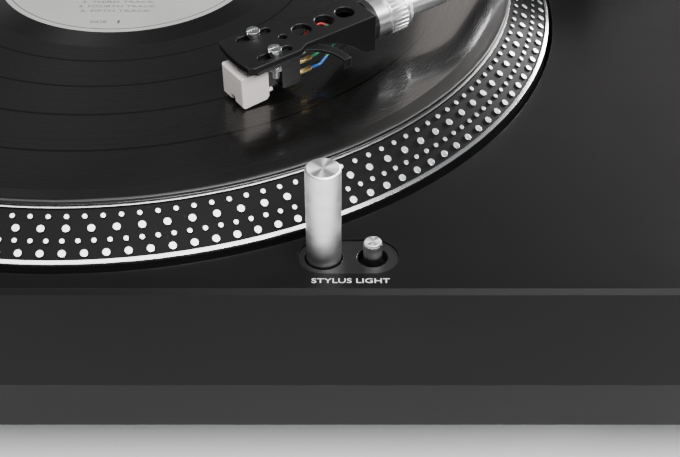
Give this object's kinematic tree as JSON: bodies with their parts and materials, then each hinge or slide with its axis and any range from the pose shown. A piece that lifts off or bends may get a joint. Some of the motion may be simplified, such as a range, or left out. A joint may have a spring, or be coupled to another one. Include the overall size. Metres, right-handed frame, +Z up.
{
  "type": "turntable record player",
  "caption": "Direct-drive turntable with a dotted strobe rim, S-shaped tonearm, pop-up stylus lamp and a record on the platter, in a black plinth.",
  "frame": {"origin": "on the surface the feet stand on, below the middle of the plinth", "axes": "+X to the deck's right, +Y to its back, +Z up"},
  "size_m": [0.45, 0.354, 0.1465],
  "materials": {
    "deck_black": "satin",
    "base_black": "satin",
    "steel": "machined",
    "foot_black": "matte",
    "pad_rubber": "matte",
    "bearing_brass": "machined",
    "copper": "enamelled",
    "trim_black": "satin",
    "board_green": "satin",
    "lens_red": "clear",
    "brushed_trim": "brushed",
    "socket_gold": "polished",
    "satin_metal": "satin",
    "platter_metal": "machined",
    "magnet_grey": "matte",
    "polished_steel": "polished",
    "mat_rubber": "matte",
    "record_vinyl": "gloss",
    "label_paper": "matte",
    "button_metal": "brushed",
    "arm_casting": "satin",
    "arm_silver": "satin",
    "headshell_black": "satin",
    "cartridge_black": "satin",
    "stylus_grey": "satin",
    "lead_insulation": "matte",
    "weight_metal": "satin"
  },
  "bodies": {
    "plinth": {"top_cover": "deck_black", "base_cabinet": "base_black", "case_screws": "steel", "feet": "foot_black", "foot_pads": "pad_rubber", "bearing_housing": "bearing_brass", "stator_core": "steel", "stator_coils": "copper", "lamp_bezel": "trim_black", "control_board": "board_green", "strobe_tower": "trim_black", "strobe_window": "lens_red", "slider_plate": "brushed_trim", "slider_pot": "steel", "main_board": "board_green", "transformer": "steel", "rear_panel": "trim_black", "phono_sockets": "socket_gold", "ground_post": "socket_gold", "power_socket": "trim_black", "arm_socket": "satin_metal", "lamp_spring": "steel"},
    "turning_platter": {"platter": "platter_metal", "rotor_magnet": "magnet_grey", "spindle": "polished_steel", "rubber_mat": "mat_rubber", "record": "record_vinyl", "record_label": "label_paper"},
    "lamp": {"lamp_pillar": "satin_metal"},
    "lamp_key": {"lamp_button": "satin_metal"},
    "start_key": {"start_button": "button_metal"},
    "key_33": {"speed_button_33": "button_metal"},
    "key_45": {"speed_button_45": "button_metal"},
    "key_78": {"speed_button_78": "button_metal"},
    "knob": {"power_knob": "satin_metal"},
    "pitch_knob": {"slider_knob": "trim_black"},
    "terminal_nut": {"ground_nut": "socket_gold"},
    "ring": {"height_ring": "satin_metal"},
    "arm_base": {"arm_plate": "arm_casting", "arm_rest": "trim_black"},
    "rest_clip": {"arm_clip": "trim_black"},
    "cue": {"cue_lever": "satin_metal"},
    "lift": {"lift_bar": "trim_black"},
    "dial": {"anti_skate_dial": "satin_metal"},
    "yoke": {"gimbal_yoke": "satin_metal", "pivot_screws": "steel"},
    "tonearm": {"arm_tube": "arm_silver", "arm_stub": "satin_metal", "headshell": "headshell_black", "headshell_plug": "trim_black", "finger_lift": "polished_steel", "cartridge_body": "cartridge_black", "stylus_block": "stylus_grey", "cantilever": "satin_metal", "cartridge_screws": "steel", "cartridge_nuts": "steel", "cartridge_leads": "lead_insulation"},
    "weight": {"counterweight": "weight_metal"},
    "scale": {"force_ring": "trim_black"},
    "collar": {"lock_collar": "arm_silver"}
  },
  "joints": [
    {"name": "platter_spin", "type": "hinge", "parent": "plinth", "child": "turning_platter", "pos_m": [-0.044, -0.0015, 0.08], "axis": [0, 0, 1], "continuous": true},
    {"name": "lamp_rise", "type": "slide", "parent": "plinth", "child": "lamp", "axis": [0, 0, 1], "range_m": [-0.031, 0], "stiffness_N_per_m": 20, "springref_m": 0.008, "deforming": ["lamp_spring"]},
    {"name": "lamp_button_press", "type": "slide", "parent": "plinth", "child": "lamp_key", "axis": [0, 0, 1], "range_m": [-0.003, 0], "stiffness_N_per_m": 300, "springref_m": 0.0005},
    {"name": "start_press", "type": "slide", "parent": "plinth", "child": "start_key", "axis": [0, 0, 1], "range_m": [-0.0012, 0], "stiffness_N_per_m": 400, "springref_m": 0.0005},
    {"name": "speed_33_press", "type": "slide", "parent": "plinth", "child": "key_33", "axis": [0, 0, 1], "range_m": [-0.0012, 0], "stiffness_N_per_m": 400, "springref_m": 0.0005},
    {"name": "speed_45_press", "type": "slide", "parent": "plinth", "child": "key_45", "axis": [0, 0, 1], "range_m": [-0.0012, 0], "stiffness_N_per_m": 400, "springref_m": 0.0005},
    {"name": "speed_78_press", "type": "slide", "parent": "plinth", "child": "key_78", "axis": [0, 0, 1], "range_m": [-0.0012, 0], "stiffness_N_per_m": 400, "springref_m": 0.0005},
    {"name": "power_turn", "type": "hinge", "parent": "plinth", "child": "knob", "pos_m": [-0.204, -0.095, 0.1], "axis": [0, 0, 1], "range_deg": [-60, 0]},
    {"name": "pitch_slide", "type": "slide", "parent": "plinth", "child": "pitch_knob", "axis": [0, 1, 0], "range_m": [-0.05, 0.05]},
    {"name": "terminal_turn", "type": "hinge", "parent": "plinth", "child": "terminal_nut", "pos_m": [-0.138, 0.172, 0.0593], "axis": [0, 1, 0], "range_deg": [-30, 360]},
    {"name": "height_turn", "type": "hinge", "parent": "plinth", "child": "ring", "pos_m": [0.1546, 0.0795, 0.1], "axis": [0, 0, 1], "range_deg": [0, 120.5]},
    {"name": "base_rise", "type": "slide", "parent": "plinth", "child": "arm_base", "axis": [0, 0, 1], "range_m": [0, 0.006]},
    {"name": "clip_swing", "type": "hinge", "parent": "arm_base", "child": "rest_clip", "pos_m": [0.14699, 0.01751, 0.128], "axis": [-0.2402, -0.9707, 0], "range_deg": [-20, 75]},
    {"name": "cue_turn", "type": "hinge", "parent": "arm_base", "child": "cue", "pos_m": [0.193, 0.06, 0.1149], "axis": [1, 0, 0], "range_deg": [-40.2, 0]},
    {"name": "lift_rise", "type": "slide", "parent": "arm_base", "child": "lift", "axis": [0, 0, 1], "range_m": [0, 0.0018]},
    {"name": "anti_skate_turn", "type": "hinge", "parent": "arm_base", "child": "dial", "pos_m": [0.1926, 0.0885, 0.11], "axis": [0, 0, 1], "range_deg": [-270, 0]},
    {"name": "arm_swing", "type": "hinge", "parent": "arm_base", "child": "yoke", "pos_m": [0.1546, 0.0795, 0.1], "axis": [0, 0, 1], "range_deg": [-13.5, 26]},
    {"name": "arm_pitch", "type": "hinge", "parent": "yoke", "child": "tonearm", "pos_m": [0.1546, 0.0795, 0.125], "axis": [-0.7672, 0.6414, 0], "range_deg": [0, 2]},
    {"name": "weight_turn", "type": "hinge", "parent": "tonearm", "child": "weight", "pos_m": [0.1546, 0.0795, 0.125], "axis": [-0.6403, -0.7658, -0.0593], "range_deg": [-360, 360]},
    {"name": "scale_turn", "type": "hinge", "parent": "weight", "child": "scale", "pos_m": [0.1546, 0.0795, 0.125], "axis": [-0.6403, -0.7658, -0.0593], "range_deg": [-180, 180]},
    {"name": "collar_turn", "type": "hinge", "parent": "tonearm", "child": "collar", "pos_m": [0.05439, -0.06337, 0.11643], "axis": [0.8082, 0.5872, 0.0436], "range_deg": [0, 80]}
  ],
  "couplings": [
    {"joint": "height_turn", "follows": "base_rise", "rad_per_m": 349.07},
    {"joint": "lift_rise", "follows": "arm_pitch", "m_per_rad": 0.048701},
    {"joint": "cue_turn", "follows": "arm_pitch", "ratio": -20}
  ]
}
